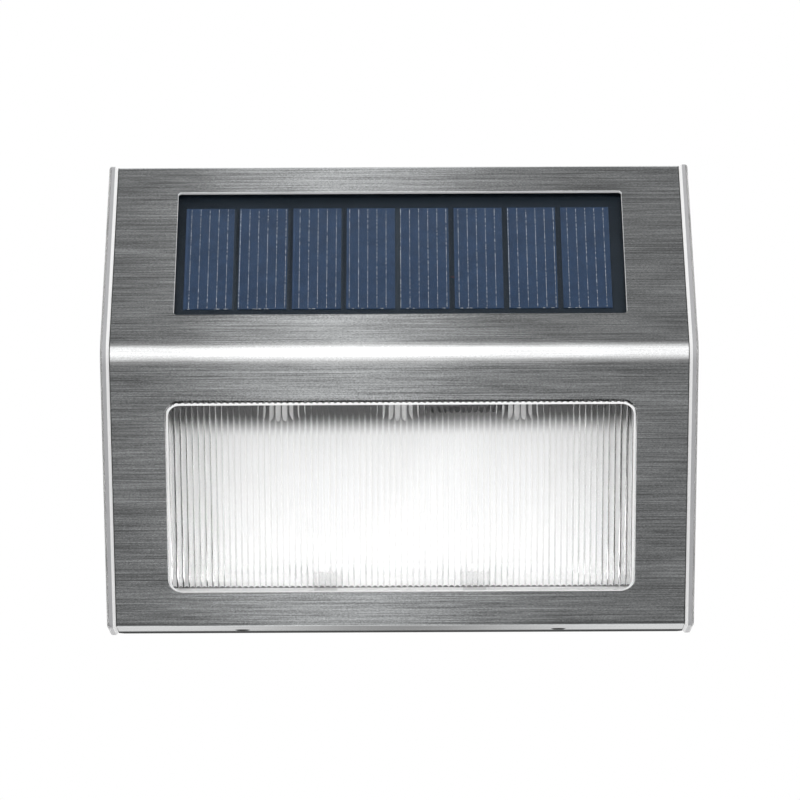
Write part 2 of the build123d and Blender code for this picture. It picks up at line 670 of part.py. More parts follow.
def led_wires():
    """Two leads from the LED strip board round to the control board."""
    wires = []
    top = CHAMBER_CEILING + CHAMBER_WALL + STRIP_THICK
    rise = WIRE_BEND * 1.5
    landing = BOARD_BOTTOM + BOARD[1] / 4
    for x in (LED_WIRE_X, LED_WIRE_X + WIRE_PAIR):
        start = LOWER.from_local_coords((x, top, -LED_DEPTH))
        turn = LOWER.from_local_coords((x, top + rise, -LED_DEPTH))
        run = (x, BOARD_FRONT - 3 * WIRE_BEND, landing)
        wires.append(lead([start, turn, run, (x, BOARD_FRONT, landing)]))
    return Compound(wires)


def battery_wires():
    """One lead from each battery contact up to the control board."""
    wires = []
    landing = BOARD_BOTTOM + BOARD[1] / 4
    for side in (-1, 1):
        x = side * (BAY_HALF_LENGTH - CONTACT[2] / 2)
        start = (x, BAY_LEAD_Y, BAY_HEIGHT + CONTACT[1] / 2)
        wires.append(lead([start, (x, BAY_LEAD_Y, landing), (x, BOARD_FRONT, landing)]))
    return Compound(wires)


def bracket_section():
    """The bracket's plate and both bent lips, seen from the side."""
    high = TOP - SHEET - LIP_FIT
    low = BOTTOM + SHEET + LIP_FIT
    reach = max(LIP_DEPTH, LOCK_TAB_DEPTH) + SPARE
    outer = Pos(-reach / 2, (high + low) / 2) * Rectangle(reach, high - low)
    inner = offset(outer, amount=-BRACKET, kind=Kind.INTERSECTION)
    outer = fillet(outer.vertices().sort_by(Axis.X)[-2:], BRACKET_BEND)
    inner = fillet(inner.vertices().sort_by(Axis.X)[-2:], BRACKET_BEND - BRACKET)
    return outer - inner


def lock_tab_places():
    """Middles of the two lock screw tabs."""
    return -LOCK_SPACING / 2, LOCK_SPACING / 2


def wall_bracket():
    """Folded plate on the fence: a lip for the top flange, tabs for the lock screws."""
    folded = across(bracket_section(), -BRACKET_WIDTH / 2, BRACKET_WIDTH / 2)
    tall = HEIGHT - 2 * (SHEET + LIP_FIT + BRACKET_BEND)
    flat = Plane(origin=(0, 0, 0), x_dir=(1, 0, 0), z_dir=(0, -1, 0))
    plate = chamfer(Rectangle(BRACKET_WIDTH, tall).vertices(), BRACKET_CORNER)
    keep = extrude(flat * plate, BRACKET)
    lip = block((-LIP_WIDTH / 2, LIP_WIDTH / 2), (-LIP_DEPTH, 0), (0, TOP))
    keep += chamfer(lip.edges().filter_by(Axis.Z).sort_by(Axis.Y)[:2], BRACKET_CORNER)
    for x in lock_tab_places():
        half = LOCK_TAB_WIDTH / 2
        tab = block((x - half, x + half), (-LOCK_TAB_DEPTH, 0), (BOTTOM, 0))
        keep += chamfer(tab.edges().filter_by(Axis.Z).sort_by(Axis.Y)[:2], BRACKET_CORNER)
    plate = folded & keep
    for x in lock_tab_places():
        plate -= rod(LOCK_RADIUS, (x, -LOCK_FROM_WALL, BOTTOM), (0, 0, 1), 4 * BRACKET)
    for side in (-1, 1):
        start = (side * WALL_HOLE_SPACING / 2, BRACKET, WALL_HOLE_HEIGHT)
        plate -= rod(WALL_HOLE_RADIUS, start, (0, -1, 0), 3 * BRACKET)
    relief = Plane(origin=(0, BRACKET, RELIEF_HEIGHT), x_dir=(1, 0, 0), z_dir=(0, -1, 0))
    opening = chamfer(Rectangle(*RELIEF).vertices(), RELIEF_CORNER)
    return plate - extrude(relief * opening, amount=3 * BRACKET)


def pieces():
    """Every node's name with its shape."""
    return {
        "front_cover": front_cover(),
        "left_end_cap": end_cap(-1),
        "right_end_cap": end_cap(1),
        "lens": lens(),
        "lens_seal": seal(LOWER, LENS_WINDOW, LENS_MIDDLE),
        "panel_seal": seal(UPPER, SOLAR_WINDOW, SOLAR_MIDDLE),
        "solar_cells": solar_cells(),
        "panel_resin": panel_resin(),
        "panel_board": panel_board(),
        "reflector": reflector(),
        "leds": leds(),
        "led_leads": led_leads(),
        "led_board": led_board(),
        "control_board": control_board(),
        "control_chip": control_chip(),
        "charge_coil": charge_coil(),
        "board_capacitor": board_capacitor(),
        "switch_body": switch_body(),
        "switch_slider": switch_slider(),
        "battery": battery(),
        "battery_contact_plus": contact_plus(),
        "battery_contact_spring": contact_spring(),
        "back_cover": back_cover(),
        "case_screws": case_screws(),
        "battery_door": battery_door(),
        "panel_wires": panel_wires(),
        "led_wires": led_wires(),
        "battery_wires": battery_wires(),
        "wall_bracket": wall_bracket(),
    }


os.makedirs("parts", exist_ok=True)
for name, shape in pieces().items():
    export_step(shape, f"parts/{name}.step")
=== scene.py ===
"""Looks of the solar fence light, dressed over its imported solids."""
import json
import math
import random

import bmesh
import bpy
from mathutils import Matrix, Vector

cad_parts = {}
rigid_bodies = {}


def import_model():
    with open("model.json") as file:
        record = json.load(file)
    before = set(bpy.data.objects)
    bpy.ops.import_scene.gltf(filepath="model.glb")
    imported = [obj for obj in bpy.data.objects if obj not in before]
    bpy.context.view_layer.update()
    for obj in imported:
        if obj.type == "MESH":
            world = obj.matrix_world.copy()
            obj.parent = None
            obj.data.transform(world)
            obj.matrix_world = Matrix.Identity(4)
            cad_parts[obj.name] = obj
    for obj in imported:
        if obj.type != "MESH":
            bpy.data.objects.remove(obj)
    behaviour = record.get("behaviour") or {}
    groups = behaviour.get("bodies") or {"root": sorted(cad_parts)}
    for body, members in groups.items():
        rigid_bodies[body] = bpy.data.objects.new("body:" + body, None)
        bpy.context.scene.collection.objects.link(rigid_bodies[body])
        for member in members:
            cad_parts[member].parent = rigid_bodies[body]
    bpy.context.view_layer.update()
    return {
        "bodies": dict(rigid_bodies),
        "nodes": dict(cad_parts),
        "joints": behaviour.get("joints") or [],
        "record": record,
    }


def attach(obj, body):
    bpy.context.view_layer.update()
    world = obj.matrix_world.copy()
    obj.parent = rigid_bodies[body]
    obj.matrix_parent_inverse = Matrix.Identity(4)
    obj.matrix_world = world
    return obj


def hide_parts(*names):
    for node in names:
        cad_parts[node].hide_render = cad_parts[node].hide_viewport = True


MM = 0.001

# Side outline of the folded cover, between sharp corners, in millimetres
DEPTH = 48.0
RIDGE = 3.75
TOP = 48.15
BOTTOM = -48.15
TOP_FLANGE = 8.7
BOTTOM_FLANGE = 14.6
WIDTH = 120.0
RIM = 1.8
RIM_PROUD = 0.3
RIM_ROUND = 0.5
RIM_BEVEL = (0.6, 0.2)              # width beside the sheet, and its depth behind the outline
TUCK = 4.0                          # skirt under the sheet
TUCK_INSETS = (0.7, 1.9)            # its outside and inside, behind the outline
SHEET = 0.6
CORNER_STEPS = 8
BENDS = (1.5, 4.2, 1.5)             # top, ridge and bottom, outside radii
BEND_STEPS = (8, 20, 8)
BEND_RUN = 0.25                     # straight run on each side of a bend
LEAST_BEND = 0.3
HALF_SHEET = WIDTH / 2 - RIM
SOLAR_WINDOW = (91.4, 39.5, 11.4, 0.7)      # width, length, distance from the ridge, corner
LENS_WINDOW = (95.0, 43.0, 11.1, 3.0)
WINDOW_SHIFT = 0.25                 # of both windows, to the right
LOCK_HOLES = (65.0, 6.0, 1.5)       # spacing, distance from the fence, radius
FLANGE_CORNER = 1.0
LENS_PROUD = 0.7
LENS_STEP = -1.0                    # front of the flange behind the sheet
LENS_BACK = -2.2
LENS_EDGE = 3.0
LENS_FIT = 0.15
LENS_ROUND = 0.5
FLUTE_PITCH = 1.2
FLUTE_STEPS = 8
FLUTE_CURVE = 2.4                   # power of the section: 2 is a parabola
FLUTE_HEIGHTS = (0.21, 0.3)         # in the middle and at the ends
FLUTE_SIDE = 0.65
FLUTE_END = 0.5
FLUTE_DASH = 0.42                   # run-out at a flute's lower end
FLUTE_FOOT = 0.1                    # share of the height at the start of the run-out
CELLS = 8
CELL_PITCH = 11.0
CELL_WIDTH = 9.9
CELL_SHIFT = -0.25                  # of all the cells, to the left
CELL_LENGTH = 32.5
CELL_MIDDLE = 31.15                 # along the upper face, from the ridge
CELL_FACE = -1.53                   # behind the outside of the upper face
CELL_THICKNESS = 0.2
LINE_PITCH = 1.87
LINE_STARTS = (1.1, 0.2, 1.4, 0.6, 0.05, 0.9, 0.15, 1.3)    # on each cell, from its left edge
LINE_HALF = 0.05
LINE_RISE = 0.015
LINE_INSET = 0.3
TAB_RISE = 0.03
TAB_ENDS = (-0.05, 0.12)            # across a cell's lower edge
LED_SPACING = 24.0
LED_RADIUS = 2.5
LED_LENGTH = 8.7
LED_COLLAR = (0.4, 1.0)             # beyond the dome's side, and its length
LED_SEAT = -10.0                    # along the lower face, from the ridge
LED_DEPTH = -8.0
LED_FRAMES = (((-1.6, 0.4, -0.25), (-0.9, 4.6, 0.25)), ((0.6, 0.4, -0.25), (1.3, 3.6, 0.25)))
LED_CUP = ((0.01, 4.0), (0.6, 4.0), (0.95, 5.2), (0.8, 5.2), (0.5, 4.5), (0.01, 4.5))
LED_CUP_SIDE = -0.4
LED_DIE = ((-0.7, 4.5, -0.3), (-0.1, 4.75, 0.3))
BACK_INSIDE = -4.0
POST_HEIGHTS = (31.8, -32.2)        # of the screw posts inside the caps
POST_HALF = 2.7
POST_INSIDE = 52.7
POST_FRONT = -15.0
CHAMBER_HALF = 49.15                # half the width of the lamp's white chamber
GREY_DEPTH = 9.5                    # of the chamber's end walls painted grey as shade, from the lens
LENS_TOP = -11.1
PADS = (30.4, 4.7, -54.2)           # pads painted grey as shade on the chamber's floor: spacing, width, top

# The photograph's camera
FOCAL = 5995 / 800                  # in picture widths
CAMERA_TILT = 98
CAMERA_TURN = -0.25
CAMERA_PLACE = (0.0001, -1.2349, -0.17315)


class Field:
    """What a node gives out, for writing shader maths as plain expressions."""

    def __init__(self, recipe, socket):
        self.recipe = recipe
        self.socket = socket

    def math(self, operation, *values):
        return self.recipe.node("Math", {"operation": operation}, dict(enumerate(values)))

    def __add__(self, other):
        return self.math("ADD", self, other)

    def __mul__(self, other):
        return self.math("MULTIPLY", self, other)

    __radd__ = __add__
    __rmul__ = __mul__

    def __sub__(self, other):
        return self.math("SUBTRACT", self, other)

    def __rsub__(self, other):
        return self.math("SUBTRACT", other, self)

    def __gt__(self, other):
        return self.math("GREATER_THAN", self, other)

    def __lt__(self, other):
        return self.math("LESS_THAN", self, other)

    def __abs__(self):
        return self.math("ABSOLUTE", self)

    def limited(self, low=0.0, high=1.0):
        return self.math("MINIMUM", self.math("MAXIMUM", self, low), high)


class Recipe:
    """The nodes of one material or of the world."""

    def __init__(self, owner):
        owner.use_nodes = True
        self.tree = owner.node_tree
        self.tree.nodes.clear()

    def node(self, kind, settings=None, inputs=None, out=0):
        made = self.tree.nodes.new("ShaderNode" + kind)
        for name, value in (settings or {}).items():
            if name == "stops":
                stops = made.color_ramp.elements
                while len(stops) < len(value):
                    stops.new(0.5)
                for stop, (place, level) in zip(stops, value):
                    stop.position = place
                    stop.color = (level, level, level, 1)
            else:
                setattr(made, name, value)
        for name, value in (inputs or {}).items():
            if isinstance(value, Field):
                self.tree.links.new(value.socket, made.inputs[name])
            else:
                made.inputs[name].default_value = value
        return Field(self, made.outputs[out])

    def place(self, scale=(1.0, 1.0, 1.0)):
        """Position on the lamp in millimetres, stretched by a scale on each axis."""
        spot = self.node("TexCoord", out="Object")
        size = [value / MM for value in scale]
        return self.node("VectorMath", {"operation": "MULTIPLY"}, {0: spot, 1: size})

    def axes(self, vector):
        return [self.node("SeparateXYZ", None, {0: vector}, out=axis) for axis in range(3)]

    def noise(self, scale, detail=2.0, size=1.0):
        """Soft noise from 0 to 1, with its grain stretched by the scale."""
        inputs = {"Vector": self.place(scale), "Scale": 1.0 / size, "Detail": detail}
        return self.node("TexNoise", None, inputs)

    def step(self, value, low, high, start=0.0, end=1.0):
        """An eased change from one value to another over a range."""
        inputs = {0: value, 1: low, 2: high, 3: start, 4: end}
        return self.node("MapRange", {"interpolation_type": "SMOOTHSTEP"}, inputs)

    def ramp(self, value, *stops):
        return self.node("ValToRGB", {"stops": stops}, {0: value})

    def blend(self, factor, one, other, how="MIX"):
        """One colour over another by a factor."""
        settings = {"data_type": "RGBA", "blend_type": how}
        return self.node("Mix", settings, {0: factor, 6: one, 7: other}, out=2)

    def bump(self, height, strength, distance):
        """Relief from a height, its depth in millimetres."""
        return self.node("Bump", None, {"Height": height, "Strength": strength, "Distance": distance * MM})

    def finish(self, shader, target="Material"):
        output = self.tree.nodes.new("ShaderNodeOutput" + target)
        self.tree.links.new(shader.socket, output.inputs["Surface"])


def colour(level, green=None, blue=None):
    """A colour from linear values."""
    return (level, level if green is None else green, level if blue is None else blue, 1.0)


def material(name):
    made = bpy.data.materials.new(name)
    return made, Recipe(made)


def coated(name, base, rough, grain=0.1, grain_size=0.6, relief=0.02, **settings):
    """A plain finish with a slight mottle, uneven gloss and a fine moulded grain."""
    made, mix = material(name)
    mottle = mix.noise((1, 1, 1), 3.0, 6.0)
    fine = mix.noise((1, 1, 1), 2.0, grain_size)
    dark = colour(*[value * (1 - grain) for value in base])
    light = colour(*[min(1.0, value * (1 + grain)) for value in base])
    inputs = {
        "Base Color": mix.blend(mottle, dark, light),
        "Roughness": (rough + (fine - 0.5) * 0.12).limited(0.02, 1.0),
        "Normal": mix.bump(fine, 0.35, relief)}
    inputs.update({key.replace("_", " "): value for key, value in settings.items()})
    mix.finish(mix.node("BsdfPrincipled", None, inputs))
    return made


def brushed_steel():
    """Stainless sheet with a fine grain across the lamp, lightened along the ridge as a painted highlight.

    It is dark and dull at its sheared ends and at the back of the bottom flange: painted shade, dark lines
    where the gaps and the flange's back fall in shadow.
    """
    made, mix = material("brushed_steel")
    lines = mix.noise((0.02, 3.6, 3.6), 3.0, 1.0)
    hair = mix.noise((0.08, 6.0, 6.0), 3.0, 1.0)
    cloud = mix.noise((0.1, 0.4, 0.4), 3.0, 2.0)
    specks = mix.noise((2.6, 5.0, 5.0), 2.0, 1.0)
    grain = lines * 0.4 + hair * 0.6
    tone = grain * 0.62 + cloud * 0.12 + specks * 0.26
    shade = mix.ramp(tone, (0.38, 0.24), (0.62, 0.97))
    shade = mix.blend(1.0, shade, colour(0.975, 1.0, 1.01), how="MULTIPLY")
    across, deep, height = mix.axes(mix.place())
    # Painted shade: a dark, dull band along the back of the bottom flange
    back_flange_shade = mix.step(deep, -5.4, -3.6, 0.0, 0.95) * (height < 0.0)
    # Painted shade: a dark line along the sheet's ends, beside the end caps
    end_gap_shade = abs(across) > HALF_SHEET - 0.2
    # Painted highlight: the grain fades to near-white along the ridge
    ridge = mix.step(deep, -45.8, -47.0, 0.0, 0.6)
    shade = mix.blend(ridge, shade, colour(0.97))
    gloss = 0.1 + (cloud - 0.5) * 0.06 + (hair - 0.5) * 0.08
    inputs = {
        "Base Color": mix.blend((back_flange_shade + end_gap_shade).limited(), shade, colour(0.05)),
        "Metallic": 1 - back_flange_shade,
        "Roughness": (gloss + back_flange_shade * 0.5).limited(0.04, 0.7),
        "Specular IOR Level": 0.0,
        "Normal": mix.bump(grain, 0.6, 0.009)}
    mix.finish(mix.node("BsdfPrincipled", None, inputs))
    return made


def chamber_white():
    """White moulding with painted shade: grey on its end walls, towards its top and on its floor pads."""
    made, mix = material("chamber_white")
    fine = mix.noise((1, 1, 1), 2.0, 0.8)
    across, deep, height = mix.axes(mix.place())
    along = LOWER.to_3x3() @ Vector((0, 1, 0))
    climb = (deep + DEPTH) * along.y + (height - RIDGE) * along.z
    # Painted shade: grey towards the chamber's top
    top = mix.step(climb, LENS_TOP - 14.2, LENS_TOP - 9.4)
    out = LOWER.to_3x3() @ Vector((0, 0, 1))
    # Painted shade: darker end walls near the lens
    front = (deep + DEPTH) * out.y + (height - RIDGE) * out.z > LENS_BACK - GREY_DEPTH
    ends = (abs(across) > CHAMBER_HALF - 0.3) * front
    spacing, width, low = PADS
    # Painted shade: grey pads on the chamber's floor
    pads = (abs(abs(across) - spacing / 2) < width / 2) * (climb < low)
    white = mix.blend(fine, colour(0.93), colour(0.96))
    grey = (top + ends * 0.65 + pads * 0.25).limited()
    inputs = {
        "Base Color": mix.blend(grey, white, colour(0.09)),
        "Roughness": (0.5 + (fine - 0.5) * 0.2).limited(),
        "Normal": mix.bump(fine, 0.3, 0.02)}
    mix.finish(mix.node("BsdfPrincipled", None, inputs))
    return made


def cut_edge():
    """The sheared edge of the sheet, bright and matt, and painted dark as shade in the lock holes."""
    made, mix = material("cut_edge")
    grain = mix.noise((3, 3, 3), 2.0, 1.0)
    across, deep, height = mix.axes(mix.place())
    spacing, inset, radius = LOCK_HOLES
    # Painted shade: near-black inside the lock holes
    hole_shade = (abs(abs(across) - spacing / 2) < radius + 0.3) * (deep < radius + 0.3 - inset)
    hole_shade = hole_shade * (height < BOTTOM + SHEET + 0.1)
    bright = mix.blend(grain, colour(0.85), colour(0.97))
    inputs = {
        "Base Color": mix.blend(hole_shade, bright, colour(0.04)),
        "Metallic": 0.1,
        "Roughness": (0.55 + (grain - 0.5) * 0.2).limited(),
        "Normal": mix.bump(grain, 0.3, 0.02)}
    mix.finish(mix.node("BsdfPrincipled", None, inputs))
    return made


def lens_plastic():
    """Clear plastic that lets the chamber behind it show."""
    made, mix = material("lens_plastic")
    wave = mix.noise((1, 1, 1), 2.0, 5.0)
    inputs = {
        "Base Color": colour(1.0),
        "Roughness": 0.01,
        "IOR": 1.49,
        "Transmission Weight": 1.0,
        "Normal": mix.bump(wave, 0.1, 0.02)}
    mix.finish(mix.node("BsdfPrincipled", None, inputs))
    return made


def satin_end():
    """Slightly cloudy clear plastic with a satin skin."""
    made, mix = material("satin_end")
    wave = mix.noise((1, 1, 1), 2.0, 3.0)
    inputs = {
        "Base Color": colour(0.66),
        "Roughness": (0.1 + (wave - 0.5) * 0.08).limited(),
        "IOR": 1.49,
        "Transmission Weight": 0.7,
        "Normal": mix.bump(wave, 0.1, 0.02)}
    mix.finish(mix.node("BsdfPrincipled", None, inputs))
    return made


def silicon():
    """Dark blue cell with a faint crystal mottle under the resin."""
    made, mix = material("silicon")
    crystals = mix.node("TexVoronoi", {"distance": "CHEBYCHEV"}, {"Vector": mix.place(), "Scale": 0.5},
                        out="Distance")
    cloud = mix.noise((1, 1, 1), 3.0, 4.0)
    mottle = (cloud + (crystals - 0.4) * 0.6).limited()
    tint = mix.blend(mottle, colour(0.013, 0.038, 0.095), colour(0.028, 0.072, 0.165))
    inputs = {
        "Base Color": tint,
        "Roughness": (0.35 + (cloud - 0.5) * 0.2).limited(),
        "Normal": mix.bump(cloud, 0.1, 0.02)}
    mix.finish(mix.node("BsdfPrincipled", None, inputs))
    return made


def silver_paste():
    """Printed silver, worn to dots."""
    made, mix = material("silver_paste")
    dots = mix.ramp(mix.noise((1, 1, 1), 2.0, 0.5), (0.4, 0.0), (0.6, 1.0))
    inputs = {
        "Base Color": mix.blend(dots, colour(0.07, 0.1, 0.15), colour(0.6, 0.65, 0.7)),
        "Roughness": (0.5 + (dots - 0.5) * 0.2).limited(),
        "Normal": mix.bump(dots, 0.2, 0.02)}
    mix.finish(mix.node("BsdfPrincipled", None, inputs))
    return made


def metal(name, level, rough, tint=(1.0, 1.0, 1.0)):
    """Bare metal with small scratches."""
    made, mix = material(name)
    scratch = mix.noise((0.6, 6.0, 2.0), 3.0, 1.0)
    base = [level * part for part in tint]
    dark = colour(*[value * 0.85 for value in base])
    inputs = {
        "Base Color": mix.blend(scratch, dark, colour(*base)),
        "Metallic": 1.0,
        "Roughness": (rough + (scratch - 0.5) * 0.15).limited(0.05, 1.0),
        "Normal": mix.bump(scratch, 0.2, 0.01)}
    mix.finish(mix.node("BsdfPrincipled", None, inputs))
    return made


def face_frame(corner_y, corner_z, up):
    """Across, along and outwards on one of the cover's flats, from the ridge corner."""
    along = Vector((0, corner_y + DEPTH, corner_z - RIDGE)).normalized() * up
    across = Vector((1, 0, 0))
    out = across.cross(along)
    turn = Matrix((across, along, out)).transposed().to_4x4()
    return Matrix.Translation((0, -DEPTH, RIDGE)) @ turn


UPPER = face_frame(-TOP_FLANGE, TOP, 1)
LOWER = face_frame(-BOTTOM_FLANGE, BOTTOM, -1)


def folded_line(inset):
    """Side outline moved inwards: runs of (y, z) points for each bend, top to bottom."""
    corners = [Vector((0, TOP)), Vector((-TOP_FLANGE, TOP)), Vector((-DEPTH, RIDGE)),
               Vector((-BOTTOM_FLANGE, BOTTOM)), Vector((0, BOTTOM))]
    bends = []
    for number, (bend, count) in enumerate(zip(BENDS, BEND_STEPS), 1):
        here = corners[number]
        before = (corners[number - 1] - here).normalized()
        after = (corners[number + 1] - here).normalized()
        half = before.angle(after) / 2
        inwards = (before + after).normalized()
        radius = max(bend - inset, LEAST_BEND)
        middle = here + inwards * (max(bend, inset + radius) / math.sin(half))
        start = (before * math.cos(half) - inwards).normalized()
        end = (after * math.cos(half) - inwards).normalized()
        arc = [middle + start.slerp(end, step / count) * radius for step in range(count + 1)]
        bends.append([arc[0] + before * BEND_RUN, *arc, arc[-1] + after * BEND_RUN])
    return bends


def outline_loop(inset):
    """The closed side outline, cut off at the fence."""
    middle = [point for bend in folded_line(inset) for point in bend]
    return [Vector((0, TOP - inset)), *middle, Vector((0, BOTTOM + inset))]


def rounded(width, length, corner):
    """A rounded rectangle as a loop of (x, y) points."""
    loop = []
    for quarter, (sx, sy) in enumerate(((1, 1), (-1, 1), (-1, -1), (1, -1))):
        for step in range(CORNER_STEPS + 1):
            turn = (quarter + step / CORNER_STEPS) * math.pi / 2
            x = sx * (width / 2 - corner) + corner * math.cos(turn)
            y = sy * (length / 2 - corner) + corner * math.sin(turn)
            loop.append(Vector((x, y)))
    return loop


class Form:
    """A mesh built up in millimetres."""

    def __init__(self):
        self.mesh = bmesh.new()

    def points(self, places):
        return [self.mesh.verts.new(Vector(place)) for place in places]

    def loft(self, loops, closed=True, caps=(True, True)):
        """Skin over matching loops of points."""
        rings = [self.points(loop) for loop in loops]
        for low, high in zip(rings, rings[1:]):
            count = len(low)
            for index in range(count if closed else count - 1):
                after = (index + 1) % count
                self.mesh.faces.new((low[index], low[after], high[after], high[index]))
        if caps[0]:
            self.mesh.faces.new(rings[0][::-1])
        if caps[1]:
            self.mesh.faces.new(rings[-1])
        return rings

    def plate(self, frame, outer, holes=()):
        """A flat face with holes, from loops of points on a frame."""
        edges = []
        for loop in (outer, *holes):
            ring = self.points([frame @ Vector((point[0], point[1], 0)) for point in loop])
            edges += [self.mesh.edges.new((ring[index - 1], ring[index])) for index in range(len(ring))]
        bmesh.ops.triangle_fill(self.mesh, use_beauty=True, use_dissolve=False, edges=edges)

    def block(self, frame, low, high, bevel=0.0):
        """A box between two corners of a frame, with its edges eased."""
        middle = [(a + b) / 2 for a, b in zip(low, high)]
        size = [b - a for a, b in zip(low, high)]
        place = frame @ Matrix.Translation(middle) @ Matrix.Diagonal((*size, 1))
        made = bmesh.ops.create_cube(self.mesh, size=1.0, matrix=place)
        if bevel:
            edges = list({edge for vert in made["verts"] for edge in vert.link_edges})
            bmesh.ops.bevel(self.mesh, geom=edges, offset=bevel, segments=2, affect="EDGES", profile=0.6)

    def turned(self, frame, profile, count=40):
        """A solid turned about the frame's second axis, from (radius, height) points."""
        loops = []
        for radius, height in profile:
            ring = []
            for step in range(count):
                turn = 2 * math.pi * step / count
                ring.append(frame @ Vector((radius * math.cos(turn), height, radius * math.sin(turn))))
            loops.append(ring)
        self.loft(loops)

    def piece(self, name, finish, body="lamp", stands_for=(), smooth=35):
        """The finished object, in metres, riding on a body of the lamp."""
        bmesh.ops.remove_doubles(self.mesh, verts=self.mesh.verts, dist=0.001)
        bmesh.ops.recalc_face_normals(self.mesh, faces=self.mesh.faces)
        bmesh.ops.scale(self.mesh, vec=(MM, MM, MM), verts=self.mesh.verts)
        limit = math.radians(smooth)
        for face in self.mesh.faces:
            face.smooth = True
        for edge in self.mesh.edges:
            edge.smooth = len(edge.link_faces) == 2 and edge.calc_face_angle(0) < limit
        data = bpy.data.meshes.new(name)
        self.mesh.to_mesh(data)
        self.mesh.free()
        data.materials.append(finish)
        made = bpy.data.objects.new(name, data)
        bpy.context.scene.collection.objects.link(made)
        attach(made, body)
        for node in stands_for:
            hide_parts(node)
        return made


def cover(finish, edge_finish):
    """The folded sheet: flats with windows, bends in fine steps, then its thickness."""
    form = Form()
    half = HALF_SHEET
    bends = folded_line(0)
    for bend in bends:
        sides = [[(x, point.x, point.y) for point in bend] for x in (-half, half)]
        form.loft(sides, closed=False, caps=(False, False))
    for frame, window, upper_bend, lower_bend, middle in (
            (UPPER, SOLAR_WINDOW, bends[0], bends[1], 1),
            (LOWER, LENS_WINDOW, bends[1], bends[2], -1)):
        back = frame.inverted()
        high = (back @ Vector((0, *upper_bend[-1]))).y
        foot = (back @ Vector((0, *lower_bend[0]))).y
        width, length, start, corner = window
        centre = middle * (start + length / 2)
        hole = [(point.x + WINDOW_SHIFT, point.y + centre) for point in rounded(width, length, corner)]
        form.plate(frame, [(-half, foot), (half, foot), (half, high), (-half, high)], [hole])
    for z, bend, end, holes in ((TOP, bends[0], 0, False), (BOTTOM, bends[2], -1, True)):
        edge = bend[end].x
        flat = Matrix.Translation((0, 0, z))
        clip = FLANGE_CORNER
        outer = [(-half, edge), (half, edge), (half, -clip),
                 (half - clip, 0), (clip - half, 0), (-half, -clip)]
        rings = []
        if holes:
            spacing, inset, radius = LOCK_HOLES
            turns = [step * math.pi / 16 for step in range(32)]
            for x in (-spacing / 2, spacing / 2):
                rings.append([(x + radius * math.cos(turn), -inset + radius * math.sin(turn))
                              for turn in turns])
        form.plate(flat, outer, rings)
    made = form.piece("folded_cover", finish, stands_for=["front_cover"])
    thick = made.modifiers.new("thickness", "SOLIDIFY")
    thick.thickness = SHEET * MM
    thick.offset = -1
    thick.use_even_offset = True
    thick.material_offset_rim = 1
    made.data.materials.append(edge_finish)
    eased = made.modifiers.new("eased_edges", "BEVEL")
    eased.width = 0.1 * MM
    eased.segments = 2
    eased.limit_method = "ANGLE"
    eased.angle_limit = math.radians(60)
    return made


def end_cap(side, finish, bevel_highlight_finish, front_finish):
    """End wall with a rounded rim, a bevel beside the sheet painted near-white as a highlight, a skirt and
    two screw posts.
    """
    form = Form()
    bevel, sunk = RIM_BEVEL
    loops = [(HALF_SHEET, sunk), (HALF_SHEET + bevel, -RIM_PROUD)]
    for step in range(7):
        turn = step / 6 * math.pi / 2
        loops.append((WIDTH / 2 - RIM_ROUND + RIM_ROUND * math.sin(turn),
                      -RIM_PROUD + RIM_ROUND - RIM_ROUND * math.cos(turn)))
    rim = form.loft([[(side * x, point.x, point.y) for point in outline_loop(inset)] for x, inset in loops])
    # The bevel beside the sheet takes a painted highlight; the strip in front of it takes the smoky finish
    for number, strip in ((1, set(rim[0] + rim[1])), (2, set(rim[1] + rim[2]))):
        for face in form.mesh.faces:
            if len(face.verts) == 4 and set(face.verts) <= strip:
                face.material_index = number
    rings = []
    outside, inside = TUCK_INSETS
    for x, inset in ((HALF_SHEET, outside), (HALF_SHEET - TUCK, outside),
                     (HALF_SHEET - TUCK, inside), (HALF_SHEET, inside)):
        line = outline_loop(inset)
        line[0].x = line[-1].x = BACK_INSIDE
        rings.append([(side * x, point.x, point.y) for point in line])
    form.loft(rings + rings[:1], closed=False, caps=(False, False))
    low, high = sorted((side * POST_INSIDE, side * HALF_SHEET))
    for height in POST_HEIGHTS:
        form.block(Matrix.Identity(4), (low, POST_FRONT, height - POST_HALF),
                   (high, BACK_INSIDE, height + POST_HALF), 0.3)
    name = "left" if side < 0 else "right"
    made = form.piece(name + "_end", finish, stands_for=[name + "_end_cap"])
    made.data.materials.append(bevel_highlight_finish)
    made.data.materials.append(front_finish)
    return made


